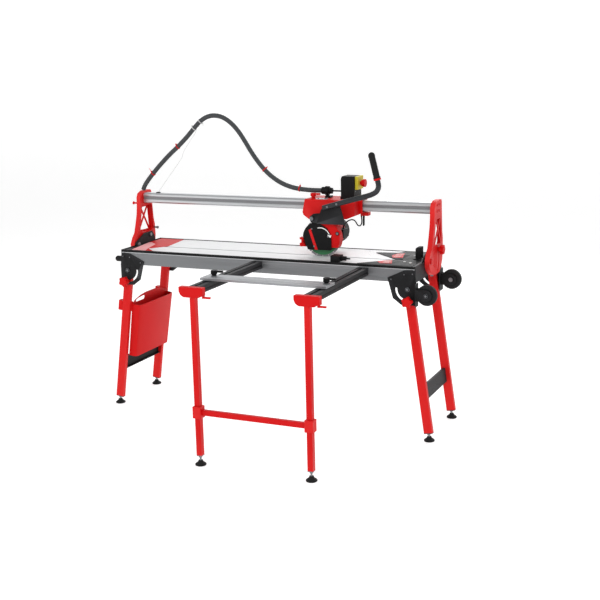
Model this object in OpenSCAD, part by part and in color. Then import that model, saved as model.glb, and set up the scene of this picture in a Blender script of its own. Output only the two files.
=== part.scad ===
// Bridge-type wet tile saw: long table on folding legs, tilting rail bridge with a sliding cutting head.
// Millimetres. X runs along the table, Y goes to the back, Z is up, the floor is Z = 0.

/* [Table] */
// Length of the table frame along X
table_length = 1500; // [1500]
// Height of the black top edge above the floor
table_edge_z = 787; // [787]
// Half width of the open cutting slot between the two top boards
slot_half = 9; // [8:0.5:10]

/* [Legs] */
// Outward lean of the four main legs in degrees
leg_lean = 8.2; // [8.2]
// Width of the leg tube along X
leg_w = 40; // [38:1:40]
// Wall thickness of the leg tube
leg_wall = 2; // [1.5:0.5:2.5]

/* [Cutting head] */
// Diameter of the diamond blade
blade_d = 180; // [178:1:180]
// Thickness of the blade core
blade_t = 2; // [1.6:0.2:2.2]
// Radius of the motor housing
motor_r = 58; // [56:1:59]

/* [Extension] */
// Width of each extension rail
ext_w = 50; // [46:1:50]
// Side of the square tube of the front stand
stand_w = 25; // [25]

/* [Wheels] */
// Radius of the transport wheels
wheel_r = 46; // [44:1:46]
// Width of the transport wheels
wheel_w = 24; // [20:1:26]

/* [Hidden] */
$fn = 48;

tl = table_length / 2;
px = 715;       // leg pivot
pz = 687;
bx = 254;       // blade axis
by = -40;
bz = 870;
mz = 878;       // motor housing centre height
ty = -40;       // tilt axis
tz = 787;
sy = 70;        // rail centre
sz = 1013;
kx = 218;       // plunge pivot
kz = 962;
wx = 803;       // wheel centre
wz = 666;
wy = 186;
exl = -12;      // extension rail centres
exr = 508;
cxl = -4;       // stand leg centres
cxr = 510;
cy = -796;
steel = [0.75, 0.76, 0.78];
alu = [0.80, 0.81, 0.82];
red = [0.83, 0.10, 0.10];
black = [0.08, 0.08, 0.085];
rubber = [0.12, 0.12, 0.12];

// ---- helpers -------------------------------------------------------------
module at_base() translate([-ox, oy, 0]) children();
module xz(y0, y1) translate([0, y1, 0]) rotate([90, 0, 0]) linear_extrude(y1 - y0) children();
module yz(x0, x1) translate([x0, 0, 0]) rotate([90, 0, 90]) linear_extrude(x1 - x0) children();
module ycyl(x, z, y0, y1, r) translate([x, y1, z]) rotate([90, 0, 0]) cylinder(h = y1 - y0, r = r);
module xcyl(y, z, x0, x1, r) translate([x0, y, z]) rotate([0, 90, 0]) cylinder(h = x1 - x0, r = r);
module bar(a, b) translate(a) cube(b - a);
function arc(cx, cz, r, a0, a1, n) =
  [for (i = [0:n]) [cx + r * cos(a0 + (a1 - a0) * i / n), cz + r * sin(a0 + (a1 - a0) * i / n)]];
function slot_pts(cx, cz, r, hw, a0, a1, n) =
  concat(arc(cx, cz, r + hw, a0, a1, n), arc(cx + r * cos(a1), cz + r * sin(a1), hw, a1, a1 + 180, 8),
    arc(cx, cz, r - hw, a1, a0, n), arc(cx + r * cos(a0), cz + r * sin(a0), hw, a0 + 180, a0 + 360, 8));
module leg_frame(s) translate([s * px, 0, pz]) rotate([0, -s * leg_lean, 0]) children();
function lfx(lx, lz) = -px + lx * cos(leg_lean) + lz * sin(leg_lean);
function lfz(lx, lz) = pz - lx * sin(leg_lean) + lz * cos(leg_lean);
foot_x = px + (pz - 20) * tan(leg_lean);
leg_end = -(pz - 38) / cos(leg_lean);
ox = (wx + wheel_r - foot_x - 24) / 2;   // table centre to the middle of the whole machine
oy = 296;

// swept tube along a list of points: one closed mesh
function unit(v) = v / norm(v);
function tangent(p, i) = unit(p[min(i + 1, len(p) - 1)] - p[max(i - 1, 0)]);
function ring(c, t, r, n) = let (s = unit(cross(t, abs(t[2]) > 0.9 ? [0, 1, 0] : [0, 0, 1])), u = cross(s, t))
  [for (k = [0:n - 1]) c + r * (cos(360 * k / n) * s + sin(360 * k / n) * u)];
module tube(p, r, n) {
  m = len(p);
  pts = [for (i = [0:m - 1]) each ring(p[i], tangent(p, i), r, n)];
  sides = [for (i = [0:m - 2]) for (k = [0:n - 1])
    [i * n + k, i * n + (k + 1) % n, (i + 1) * n + (k + 1) % n, (i + 1) * n + k]];
  polyhedron(points = pts, faces = concat([[for (k = [0:n - 1]) n - 1 - k]], sides,
    [[for (k = [0:n - 1]) (m - 1) * n + k]]), convexity = 6);
}

// ---- table ---------------------------------------------------------------
module side_rail(s, cuts) at_base() color(alu) difference() {
  union() {
    yz(-tl + 3, tl - 3) polygon(s < 0
      ? [[-184, 716], [-120, 716], [-120, 719], [-181, 719], [-181, 733], [-178, 736], [-181, 739],
         [-181, 773], [-150, 773], [-150, 776], [-184, 776]]
      : [[184, 716], [184, 776], [150, 776], [150, 773], [181, 773], [181, 739], [178, 736], [181, 733],
         [181, 719], [120, 719], [120, 716]]);
  }
  if (cuts) for (c = [exl, exr]) bar([c - 17, -190, 745], [c + 17, -176, 759]);
}
module side_rails() {
  side_rail(-1, true);
  side_rail(1, false);
}

module end_plate(s) at_base() color(black) difference() {
  bar([s > 0 ? tl - 3 : -tl, -184, 716], [s > 0 ? tl : -tl + 3, 184, table_edge_z]);
  xcyl(ty, tz, s * tl - 10, s * tl + 10, 8.05);
}
module end_plates() {
  for (s = [-1, 1]) {
    end_plate(s);
    tilt_plate(s);
  }
}

module board_front() at_base() color(alu) difference() {
  bar([-734, -172, 776], [734, ty - slot_half, 785]);
  for (y = [-160:12:-60]) bar([-741, y, 784.2], [741, y + 2, 786]);
}
module board_rear() at_base() color(alu) difference() {
  bar([-734, ty + slot_half, 776], [734, 172, 785]);
  for (y = [-18:12:160]) bar([-741, y, 784.2], [741, y + 2, 786]);
}
module top_boards() {
  board_front();
  board_rear();
}
module edge_strips() at_base() color(rubber) {
  bar([-747, -184, 776], [747, -172, table_edge_z]);
  bar([-747, 172, 776], [747, 184, table_edge_z]);
}
module water_tray() at_base() color(black) difference() {
  union() {
    difference() {
      bar([-738, -149, 719], [738, 149, 771]);
      bar([-735, -146, 722], [735, 146, 772]);
    }
    for (x = [-600:200:600]) {
      bar([x - 2, -146.5, 721.5], [x + 2, -64, 771]);
      bar([x - 2, -16, 721.5], [x + 2, 146.5, 771]);
    }
    translate([0, 60, 699]) cylinder(h = 21, r = 9);
  }
  translate([0, 60, 690]) cylinder(h = 40, r = 6.5);
}

bracket_pts = [[-622, 734], [-697, 769], [-732, 773], [-747, 770], [-754, 714], [-754, 616], [-685, 616],
  [-647, 644]];
module bracket(s, front) at_base() color(black) difference() {
  xz(front ? -188 : 184, front ? -184 : 188) scale([s, 1]) difference() {
    polygon(bracket_pts);
    polygon(slot_pts(-px, pz, 52, 5, 270 - leg_lean, 361, 24));
  }
  ycyl(-s * px, pz, -200, 200, 6.05);
  for (p = [[-640, 728], [-700, 752], [-738, 756]]) ycyl(s * p[0], p[1], -200, 200, 3.05);
}
module leg_brackets() {
  for (s = [-1, 1]) {
    bracket(s, true);
    bracket(s, false);
  }
  wheel_fork(-1);
  wheel_fork(1);
}

module leg_bolts() at_base() color(steel) for (s = [-1, 1]) for (f = [-1, 1]) {
  ycyl(s * px, pz, f < 0 ? -188 : 160, f < 0 ? -160 : 188, 6);
  ycyl(s * px, pz, f < 0 ? -193 : 188, f < 0 ? -188 : 193, 10);
  translate([s * px, f < 0 ? -158.2 : 163.2, pz]) rotate([90, 0, 0]) cylinder(h = 5, r = 10, $fn = 6);
}

module wheel_fork(f) at_base() color(black) {
  y0 = f < 0 ? -204 : 168;
  bar([754, f < 0 ? y0 : 150, 612], [756, f < 0 ? -163 : y0 + 36, 716]);
  for (y = [y0, y0 + 33]) difference() {
    union() {
      bar([755, y, 640], [wx, y + 3, 692]);
      ycyl(wx, wz, y, y + 3, 26);
    }
    ycyl(wx, wz, y - 1, y + 4, 6.05);
  }
}
module axles() at_base() color(steel) for (f = [-1, 1]) {
  y0 = f < 0 ? -204 : 168;
  ycyl(wx, wz, y0, y0 + 36, 6);
  ycyl(wx, wz, y0 - 4, y0, 10);
  ycyl(wx, wz, y0 + 36, y0 + 40, 10);
}

module tilt_plate(s) at_base() color(black) difference() {
  yz(s > 0 ? 741 : -747, s > 0 ? 747 : -741) polygon([[-62, 740], [-62, 796], [-46, 806], [22, 836],
    [96, 836], [118, 806], [118, 740]]);
  xcyl(ty, tz, s * 744 - 10, s * 744 + 10, 8.05);
  xcyl(stud_y, stud_z, s * 744 - 10, s * 744 + 10, 5.05);
}
stud_y = ty + 120 * cos(17);
stud_z = tz + 120 * sin(17);
module tilt_pins() at_base() color(steel) for (s = [-1, 1]) {
  xcyl(ty, tz, s > 0 ? 736 : -777, s > 0 ? 777 : -736, 8);
  xcyl(ty, tz, s > 0 ? 735 : -741, s > 0 ? 741 : -735, 13);
  xcyl(ty, tz, s > 0 ? 773.4 : -779, s > 0 ? 779 : -773.4, 13);
}
module tilt_studs() at_base() color(steel) for (s = [-1, 1]) {
  xcyl(stud_y, stud_z, s > 0 ? 736 : -792, s > 0 ? 792 : -736, 5);
  xcyl(stud_y, stud_z, s > 0 ? 735 : -741, s > 0 ? 741 : -735, 9);
}
module pivot_pins() {
  leg_bolts();
  table_screws();
  axles();
  tilt_pins();
  tilt_studs();
}
module parking_post() {
  bar([692, -10, 785], [718, 24, 828]);
  xz(-10, 24) polygon([[692, 828], [718, 828], [718, 843], [701, 843], [692, 836]]);
  bar([686, -24, 785], [722, 38, 791]);
}
module carry_handles() at_base() color(rubber) for (y = [-160, 160]) {
  xcyl(y, 737, -785, -750, 14);
  translate([-785, y, 737]) sphere(r = 14);
}
module gauge_outline() polygon([[604, -49], [474, -171], [732, -171], [732, 171], [600, 171], [566, 122],
  [476, 106], [466, 98], [604, -31], [640, -31], [640, -49]]);
module mitre_gauge() at_base() color(black) {
  translate([0, 0, 785]) linear_extrude(3) gauge_outline();
  translate([0, 0, 787.9]) linear_extrude(0.9) intersection() {
    gauge_outline();
    union() {
      polygon(concat(arc(652, 0, 118, 100, 158, 16), arc(652, 0, 66, 158, 100, 16)));
      polygon(concat(arc(652, 0, 118, 208, 260, 16), arc(652, 0, 66, 260, 208, 16)));
    }
  }
  parking_post();
}
module table_screws() at_base() color(steel) {
  for (p = [[652, 140], [670, -95], [664, 60]]) translate([p[0], p[1], 788]) cylinder(h = 1.6, r = 5);
  for (s = [-1, 1]) for (f = [-1, 1]) for (p = [[640, 728], [700, 752], [738, 756]])
    ycyl(s * p[0], p[1], f < 0 ? -191 : 184, f < 0 ? -184 : 191, 3);
}

// ---- wheels --------------------------------------------------------------
module wheel(f) at_base() color(rubber) translate([wx, f * wy, wz]) rotate([90, 0, 0])
  rotate_extrude() polygon([[6.05, -13.5], [11, -13.5], [11, -5], [22, -5], [28, -wheel_w / 2 + 1],
    [wheel_r - 4, -wheel_w / 2], [wheel_r, -wheel_w / 2 + 4], [wheel_r, wheel_w / 2 - 4],
    [wheel_r - 4, wheel_w / 2], [28, wheel_w / 2 - 1], [22, 5], [11, 5], [11, 13.5], [6.05, 13.5]]);
module wheel_front() wheel(-1);
module wheel_rear() wheel(1);

// ---- legs ----------------------------------------------------------------
module leg(s, f) at_base() color(red) leg_frame(s) difference() {
  y0 = f < 0 ? -183.6 : 163.6;
  bar([-leg_w / 2, y0, leg_end], [leg_w / 2, y0 + 20, 18]);
  bar([-leg_w / 2 + leg_wall, y0 + leg_wall, leg_end - 1], [leg_w / 2 - leg_wall, y0 + 20 - leg_wall, 16]);
  ycyl(0, 0, -200, 200, 6.05);
  ycyl(0, -52, f < 0 ? -190 : 170, f < 0 ? -170 : 190, 4.06);
}
module legs_left() {
  leg(-1, -1);
  leg(-1, 1);
}
module legs_right() {
  leg(1, -1);
  leg(1, 1);
}
module brace(s) at_base() color(black) leg_frame(s) {
  bar([-1.5, -163.6, -514], [1.5, 163.6, -448]);
  bar([s > 0 ? -13 : -1.5, -163.6, -451], [s > 0 ? 1.5 : 13, 163.6, -448]);
  bar([s > 0 ? -13 : -1.5, -163.6, -514], [s > 0 ? 1.5 : 13, 163.6, -511]);
}
module brace_left() {
  brace(-1);
  plugs(-1);
}
module brace_right() {
  brace(1);
  plugs(1);
}
module plugs(s) at_base() color(black) leg_frame(s) for (f = [-1, 1]) {
  bar([-20, f * 173.6 - 10, leg_end - 3], [20, f * 173.6 + 10, leg_end]);
  bar([-17.5, f * 173.6 - 7.5, leg_end - 1], [17.5, f * 173.6 + 7.5, leg_end + 14]);
}
ball_z = -(pz - 20) / cos(leg_lean);
module studs(s) at_base() color(steel) leg_frame(s) for (f = [-1, 1]) translate([0, f * 173.6, 0]) {
  translate([0, 0, ball_z]) sphere(r = 6);
  translate([0, 0, ball_z]) cylinder(h = 12, r = 4);
  translate([0, 0, ball_z + 10]) cylinder(h = leg_end - 3 - ball_z - 10, r = 5);
  translate([0, 0, leg_end - 8]) cylinder(h = 5, r = 9, $fn = 6);
}
module leg_studs_left() {
  studs(-1);
  bucket_pegs();
}
module leg_studs_right() studs(1);
module pad(x, y) translate([x, y, 0]) difference() {
  rotate_extrude() polygon([[0, 0], [23, 0], [24, 2], [24, 6], [12, 15], [8.5, 23], [0, 23]]);
  translate([0, 0, 20]) sphere(r = 6.05);
}
module feet(s) at_base() color(rubber) for (f = [-1, 1]) pad(s * foot_x, f * 173.6);
module feet_left() feet(-1);
module feet_right() feet(1);

module leg_knob(s, f) at_base() color(red) leg_frame(s) translate([0, 0, -52]) {
  ycyl(0, 0, f < 0 ? -194 : 176, f < 0 ? -176 : 194, 4);
  ycyl(0, 0, f < 0 ? -208 : 188.4, f < 0 ? -188.4 : 208, 10);
  ycyl(0, 0, f < 0 ? -228 : 206, f < 0 ? -206 : 228, 19);
  for (a = [0:72:288]) ycyl(17 * cos(a), 17 * sin(a), f < 0 ? -226 : 208, f < 0 ? -208 : 226, 8);
}
module leg_knob_front_left() leg_knob(-1, -1);
module leg_knob_rear_left() leg_knob(-1, 1);
module leg_knob_front_right() leg_knob(1, -1);
module leg_knob_rear_right() leg_knob(1, 1);

// ---- bucket --------------------------------------------------------------
module bucket_pegs() at_base() color(steel) leg_frame(-1)
  for (f = [-1, 1]) ycyl(-6, -214.4, f < 0 ? -163.6 : 154, f < 0 ? -154 : 163.6, 4);
module frustum(a, b) {
  n = len(a);
  polyhedron(points = concat(a, b), faces = concat([[for (i = [0:n - 1]) i]],
    [[for (i = [0:n - 1]) 2 * n - 1 - i]], [for (i = [0:n - 1]) [(i + 1) % n, i, n + i, n + (i + 1) % n]]));
}
function rect(x0, x1, h, z) = [[x0, -h, z], [x0, h, z], [x1 - 16, h, z], [x1 - 5, h - 6, z], [x1, h - 20, z],
  [x1, 20 - h, z], [x1 - 5, 6 - h, z], [x1 - 16, -h, z]];
module bucket_shell() difference() {
  union() {
    frustum(rect(22, 66, 163, -172), rect(22, 63, 158, -440));
    yz(22, 25) polygon([[-163, -172], [-140, -154], [-90, -140], [-40, -134], [40, -134], [90, -140],
      [140, -154], [163, -172]]);
  }
  frustum(rect(25, 63, 160, -171), rect(25, 60.1, 155.2, -437));
  yz(20, 30) polygon([[-128, -168], [-60, -168], [-52, -160], [-54, -150], [-68, -147], [-112, -151], [-132, -157],
    [-134, -164]]);
}

module bucket() at_base() color(red) leg_frame(-1) {
  bucket_shell();
  for (f = [-1, 1]) {
    bar([-42, f < 0 ? -163.1 : 158.1, -210], [24, f < 0 ? -158.1 : 163.1, -160]);
    bar([-42, f < 0 ? -184 : 158.1, -210], [-20.6, f < 0 ? -158.1 : 184, -160]);
  }
}

// ---- extension -----------------------------------------------------------
module ext_rail(c) at_base() color(black) difference() {
  bar([c - ext_w / 2, -784, 739], [c + ext_w / 2, -184.6, 771]);
  bar([c - 5, -790, 762], [c + 5, -180, 772]);
  bar([c - 9, -790, 762], [c + 9, -180, 767]);
  bar([c - ext_w / 2 + 3, -790, 742], [c + ext_w / 2 - 3, -180, 759]);
  for (s = [-1, 1]) bar([c + s * ext_w / 2 - 1.5, -790, 750], [c + s * ext_w / 2 + 1.5, -180, 756]);
}
module ext_rails() {
  for (c = [exl, exr]) {
    ext_rail(c);
    at_base() color(black) {
      bar([c - ext_w / 2 + 3, -230, 742], [c + ext_w / 2 - 3, -186, 759]);
      bar([c - 15, -187, 747], [c + 15, -153, 757]);
    }
  }
}
module ext_cap(c) at_base() color(red) difference() {
  xz(-812, -784) translate([c + 1, 0])
    polygon([[-55, 774], [-55, 754], [-48, 739], [-34, 730], [36, 730], [36, 738], [57, 738], [57, 774]]);
}
module ext_caps() {
  ext_cap(exl);
  ext_cap(exr);
}
module stand_leg(c) at_base() color(red) difference() {
  bar([c - stand_w / 2, cy - stand_w / 2, 45], [c + stand_w / 2, cy + stand_w / 2, 730]);
  bar([c - stand_w / 2 + 1.5, cy - stand_w / 2 + 1.5, 44], [c + stand_w / 2 - 1.5, cy + stand_w / 2 - 1.5, 728]);
}
module crossbar() at_base() color(red) {
  for (c = [cxl, cxr]) difference() {
    bar([c - 19, cy - 19, 211], [c + 19, cy + 19, 262]);
    bar([c - stand_w / 2, cy - stand_w / 2, 210], [c + stand_w / 2, cy + stand_w / 2, 263]);
  }
  bar([cxl + 19, cy - 8, 224], [cxr - 19, cy + 8, 248]);
}
module stand_frame() {
  stand_leg(cxl);
  stand_leg(cxr);
  crossbar();
}
module stand_studs() at_base() color(steel) for (c = [cxl, cxr]) translate([c, cy, 0]) {
  bar([-12.5, -12.5, 42], [12.5, 12.5, 45]);
  bar([-10.5, -10.5, 44], [10.5, 10.5, 60]);
  translate([0, 0, 20]) sphere(r = 6);
  translate([0, 0, 20]) cylinder(h = 12, r = 4);
  translate([0, 0, 31]) cylinder(h = 11, r = 5);
  translate([0, 0, 36]) cylinder(h = 5, r = 9, $fn = 6);
}
module stand_feet() at_base() color(rubber) for (c = [cxl, cxr]) pad(c, cy);
module cap_lever(c) at_base() color(red) {
  translate([c + 46, cy, 728]) cylinder(h = 9.6, r = 6);
  bar([c + 46, cy - 5, 728], [c + 78, cy + 5, 735]);
}
module cap_lever_left() cap_lever(cxl);
module cap_lever_right() cap_lever(cxr);
module ruler_bar() at_base() color(alu) difference() {
  union() {
    bar([-45, -666, 774], [535, -577, 784]);
    for (c = [exl, exr]) bar([c - 22, -660, 771.4], [c + 22, -583, 774]);
  }
  for (c = [exl, exr]) translate([c, -600, 765]) cylinder(h = 30, r = 4.06);
  for (y = [-650, -640]) bar([-46, y, 783.2], [536, y + 3, 785]);
}
module ruler_knob(c) at_base() color(black) translate([c, -600, 0]) {
  translate([0, 0, 764]) cylinder(h = 30, r = 4);
  translate([0, 0, 784.4]) cylinder(h = 6, r = 10);
  translate([0, 0, 790]) cylinder(h = 16, r = 14);
  bar([0, -6, 798], [42, 6, 806]);
}
module ruler_knob_left() ruler_knob(exl);
module ruler_knob_right() ruler_knob(exr);
module slide_stop() at_base() color(black) {
  bar([345, -168, 785.4], [388, -120, 812]);
  xcyl(-144, 799, 387, 412, 10);
  xcyl(-144, 799, 411, 430, 4);
}

// ---- bridge --------------------------------------------------------------
module upright_outline() polygon([[-60, 780], [-58, 798], [-46, 820], [-24, 842], [-10, 880], [6, 930],
  [12, 970], [14, 1016], [24, 1034], [52, 1045], [96, 1047], [116, 1044], [122, 1034], [126, 960], [131, 900],
  [140, 866], [142, 812], [134, 768], [112, 732], [88, 717], [40, 713], [-8, 720], [-44, 744], [-58, 764]]);
module window_outline() polygon([[38, 962], [106, 962], [116, 848], [10, 848]]);
module upright(s) at_base() color(red) difference() {
  yz(s > 0 ? 751.5 : -773, s > 0 ? 773 : -751.5) difference() {
    upright_outline();
    difference() {
      window_outline();
      polygon([[35, 965], [45, 965], [119, 845], [108, 845]]);
      polygon([[99, 965], [109, 965], [20, 845], [8, 845]]);
    }
    polygon(slot_pts(ty, tz, 120, 6, -28.5, 17.5, 16));
  }
  yz(s > 0 ? 747 : -768.5, s > 0 ? 768.5 : -747)
    polygon([[28, 970], [112, 970], [122, 852], [112, 840], [14, 840], [2, 852]]);
  xcyl(ty, tz, s > 0 ? 740 : -780, s > 0 ? 780 : -740, 8.05);
  if (s < 0) xcyl(130, 850, -780, -740, 4.06);
  for (p = rail_holes) xcyl(p[0], p[1], s > 0 ? 740 : -780, s > 0 ? 780 : -740, 4.05);
}
rail_holes = [[56, 997], [84, 997], [56, 1026], [84, 1026]];
module uprights() {
  upright(-1);
  upright(1);
  at_base() color(red) xcyl(24, 986, -796, -772, 4.5);
  at_base() color(red) xcyl(24, 986, -799, -795.5, 8);
}
module rail() at_base() color(alu) difference() {
  yz(-751.5, 751.5) polygon([[52, 985], [88, 985], [95, 992], [95, 1000], [91, 1004], [91, 1016], [95, 1020],
    [95, 1028], [88, 1035], [52, 1035], [45, 1028], [45, 1020], [49, 1016], [49, 1004], [45, 1000], [45, 992]]);
  yz(-760, 760) polygon([[62, 989], [78, 989], [78, 1031], [62, 1031]]);
  for (p = rail_holes) for (s = [-1, 1]) xcyl(p[0], p[1], s > 0 ? 720 : -760, s > 0 ? 760 : -720, 4.05);
}
module rail_bolts() at_base() color(steel) for (s = [-1, 1]) for (p = rail_holes) {
  xcyl(p[0], p[1], s > 0 ? 725 : -773, s > 0 ? 773 : -725, 4);
  xcyl(p[0], p[1], s > 0 ? 773 : -776, s > 0 ? 776 : -773, 5.5);
}
module star_x(x0, x1) {
  xcyl(0, 0, x0, x1, 15);
  for (a = [0:60:300]) xcyl(16 * cos(a), 16 * sin(a), x0 + 2, x1 - 2, 7);
}
module tilt_knob(s) at_base() color(red) translate([0, stud_y, stud_z]) difference() {
  union() {
    xcyl(0, 0, s > 0 ? 773.4 : -781, s > 0 ? 781 : -773.4, 11);
    if (s > 0) star_x(780, 800);
    else star_x(-800, -780);
  }
  xcyl(0, 0, s > 0 ? 760 : -794, s > 0 ? 794 : -760, 5.05);
}
module tilt_knob_left() tilt_knob(-1);
module tilt_knob_right() tilt_knob(1);
module index_pin() at_base() color(steel) {
  xcyl(130, 850, -771, -732, 4);
  xcyl(130, 850, -734, -726, 7);
}

hose_path = [[-760, 62, 1050], [-750, 62, 1070], [-730, 62, 1096], [-697, 61, 1132], [-652, 61, 1177],
  [-601, 60, 1223], [-548, 59, 1266], [-496, 58, 1312], [-452, 57, 1356], [-415, 56, 1390], [-376, 55, 1411],
  [-334, 55, 1417], [-291, 55, 1408], [-250, 55, 1383], [-212, 55, 1345], [-179, 56, 1298],
  [-148, 57, 1249], [-116, 58, 1205], [-80, 59, 1164], [-40, 60, 1130], [5, 60, 1104], [52, 60, 1087],
  [100, 60, 1078], [156, 60, 1074], [214, 60, 1074]];
module hose() at_base() color(black) tube(hose_path, 12, 12);
module tie(i, up) {
  c = hose_path[i];
  t = tangent(hose_path, i);
  q = [c - 4 * t, c + 4 * t];
  difference() {
    tube([q[0], q[1]], 15, 12);
    tube([c - 6 * t, c + 6 * t], 12.6, 12);
  }
  e = unit([-t[2], 0, t[0]]);
  tube([c + 14 * up * e, c + 28 * up * e], 4, 8);
}
wire_path = [[-679, 70, 1036], [-664, 70, 1056], [-604, 68, 1126], [-534, 64, 1208], [-520, 62, 1240],
  [-488, 60, 1282], [-444, 58, 1329]];
module hose_ties() at_base() color(red) {
  tie(3, 1);
  tie(6, 1);
  tie(18, 1);
  tie(22, 1);
  tie(8, -1);
  tie(9, -1);
  tube(wire_path, 1.5, 8);
  bar([-687, 62, 1035], [-671, 78, 1039]);
}

// ---- carriage ------------------------------------------------------------
module carriage_box() at_base() color(red) difference() {
  union() {
    difference() {
      xz(-20, 125) polygon([[160, 1042], [147, 982], [152, 968], [178, 950], [240, 950], [250, 956],
        [366, 956], [406, 972], [406, 1042]]);
      xz(-16, 121) polygon([[164, 1038], [151.5, 983], [155, 971], [180, 954], [239, 954], [249, 960],
        [365, 960], [402, 975], [402, 1038]]);
    }
    for (x = [178, 360]) {
      bar([x, -17, 993], [x + 24, 44.6, 1000]);
      bar([x, 95.4, 993], [x + 24, 122, 1000]);
      bar([x, 40, 1035.4], [x + 24, 100, 1040]);
    }
    bar([404, 36, 976], [422, 104, 1043]);
    bar([404, 64, 962], [440, 96, 978]);
    ycyl(kx, kz + 4, -20, -10, 12);
  }
  bar([140, 41, 981], [176, 99, 1038.3]);
  bar([400, 41, 981], [430, 99, 1038.3]);
  ycyl(kx, kz, -30, -5, 5.0);
}
module carriage_lock() at_base() color(red) translate([186, 20, 0]) {
  translate([0, 0, 1042.4]) cylinder(h = 10, r = 9);
  translate([0, 0, 1052]) cylinder(h = 14, r = 13);
  bar([-6, -6, 1058], [34, 6, 1066]);
}
module hose_gland() at_base() color(black) {
  bar([234, 44, 1042], [262, 76, 1051]);
  xcyl(60, 1074, 214.6, 232, 17);
  xcyl(60, 1074, 232, 250, 21);
  xcyl(60, 1074, 250, 266, 14);
  bar([234, 54, 1050], [248, 66, 1062]);
  xcyl(60, 1074, 265, 325, 3.5);
}
module switch_housing() at_base() color(black) difference() {
  union() {
    yz(325, 391) polygon([[17, 1042], [107, 1042], [107, 1138], [98, 1146], [30, 1146], [17, 1136]]);
    bar([319, 24, 1042], [326, 100, 1054]);
  }
  bar([328, 20, 1040], [388, 104, 1133]);
  xcyl(62, 1114, 380, 400, 8.6);
}
module switch_box() {
  switch_housing();
  hose_gland();
}
module estop_plate() at_base() color([0.85, 0.75, 0.10]) difference() {
  bar([391, 27, 1086], [405, 97, 1146]);
  xcyl(62, 1114, 395, 406, 8.6);
}
module estop_button() at_base() color(red) {
  xcyl(62, 1114, 400, 414, 8);
  xcyl(62, 1114, 411, 419, 15);
  xcyl(62, 1114, 419, 430, 18);
}
module plunge_pivot() at_base() color(steel) {
  ycyl(kx, kz, -78, -12, 5);
  ycyl(kx, kz, -82, -76.4, 9);
}

// ---- cutting head --------------------------------------------------------
module head_plate() at_base() color(black) difference() {
  union() {
    xz(-74, -69) polygon([[206, 958], [212, 943], [240, 943], [243, 938], [380, 938], [368, 985], [356, 1026],
      [300, 1030], [284, 1024], [263, 1004], [257, 987], [226, 984], [212, 974]]);
    difference() {
      ycyl(kx, kz, -69.5, -45, 14);
      ycyl(bx, bz, -60, -20, 93.8);
    }
    xz(-69.5, -60) polygon([[244, 941], [330, 941], [320, 955], [290, 962], [250, 960]]);
  }
  ycyl(kx, kz, -90, -20, 5.05);
}
module guard_cut() xz(-70, -10) polygon([[100, 829], [400, 829], [400, 700], [100, 700]]);
module guard_shell() at_base() color(red) difference() {
  union() {
    ycyl(bx, bz, -60, -22, 93.5);
    ycyl(337, 895, -62, -48, 15);
  }
  ycyl(bx, bz, -57, -26, 91.5);
  xz(-62, -50) polygon([[182, 886], [200, 902], [228, 922], [242, 927], [260, 923], [281, 910], [294, 890],
    [301, 865], [301, 780], [204, 780]]);
  xz(-61, -44) polygon([[100, 1000], [238, 1000], [238, 962], [232, 930], [172, 888], [190, 829], [100, 829]]);
  xz(-44.5, -20) polygon([[100, 1000], [238, 1000], [238, 962], [228, 932], [176, 892], [100, 892]]);
  ycyl(bx, bz, -30, -20, 14);
  guard_cut();
}
module splash_nozzle() at_base() color(red) difference() {
  union() {
    bar([144, -52, 858], [176, -44.5, 868]);
    bar([144, -35.5, 858], [176, -28, 868]);
    bar([144, -52, 826], [182, -44.5, 842]);
    bar([144, -35.5, 826], [182, -28, 842]);
    bar([152, -52, 826], [162, -28, 868]);
  }
  ycyl(bx, bz, -57, -44, 91.6);
  ycyl(bx, bz, -44.6, -35.4, 91.6);
}
module guard_body() {
  guard_shell();
  splash_nozzle();
}
module guard_cover() at_base() color(black) xz(-65, -60) polygon([[166, 878], [170, 896], [180, 915], [196, 931],
  [214, 941], [240, 939], [262, 932], [287, 917], [301, 894], [308, 866], [308, 818], [304, 816], [190, 816]]);
module screws_guard() at_base() color(steel) {
  ycyl(337, 895, -64, -62, 6);
  for (p = [[212, 912], [292, 880], [222, 832]]) ycyl(p[0], p[1], -67, -65, 4);
}
module head_screws() {
  screws_guard();
  screws_handle();
}
module motor_body() at_base() color(red) difference() {
  union() {
    ycyl(bx, mz, -22, -8, 48);
    ycyl(bx, mz, -8.5, 104, motor_r);
  }
  ycyl(bx, bz, -2, 98, 44);
  ycyl(bx, bz, -30, 100, 12.76);
}
module motor_fan_cover() at_base() color(black) {
  ycyl(bx, mz, 104, 152, motor_r + 1);
  ycyl(bx, mz, 151, 160, motor_r - 8);
  difference() {
    bar([bx + 46, 20, mz - 18], [bx + 80, 90, mz + 22]);
    ycyl(bx, mz, 10, 100, motor_r);
  }
}
handle_path = [[280, -87, 1014], [330, -87, 1029], [420, -87, 1055], [490, -87, 1074], [516, -87, 1083],
  [535, -87, 1094], [545, -87, 1109], [547, -87, 1124], [544, -87, 1140], [540, -87, 1156]];
module handle_tube() at_base() color(black) tube(handle_path, 12, 12);
module screws_handle() at_base() color(steel) for (p = [[304, 1021], [350, 1034.8]]) {
  ycyl(p[0], p[1], -75.04, -74, 9);
  ycyl(p[0], p[1], -101, -98.95, 5);
}
module grip() at_base() color(rubber) translate([542.5, -87, 1146]) rotate([0, -14, 0]) difference() {
  union() {
    cylinder(h = 10, r = 17);
    translate([0, 0, 9]) cylinder(h = 105, r = 15);
    translate([0, 0, 113]) sphere(r = 15);
  }
  translate([0, 0, -1]) cylinder(h = 20, r = 12.2);
}
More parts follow.
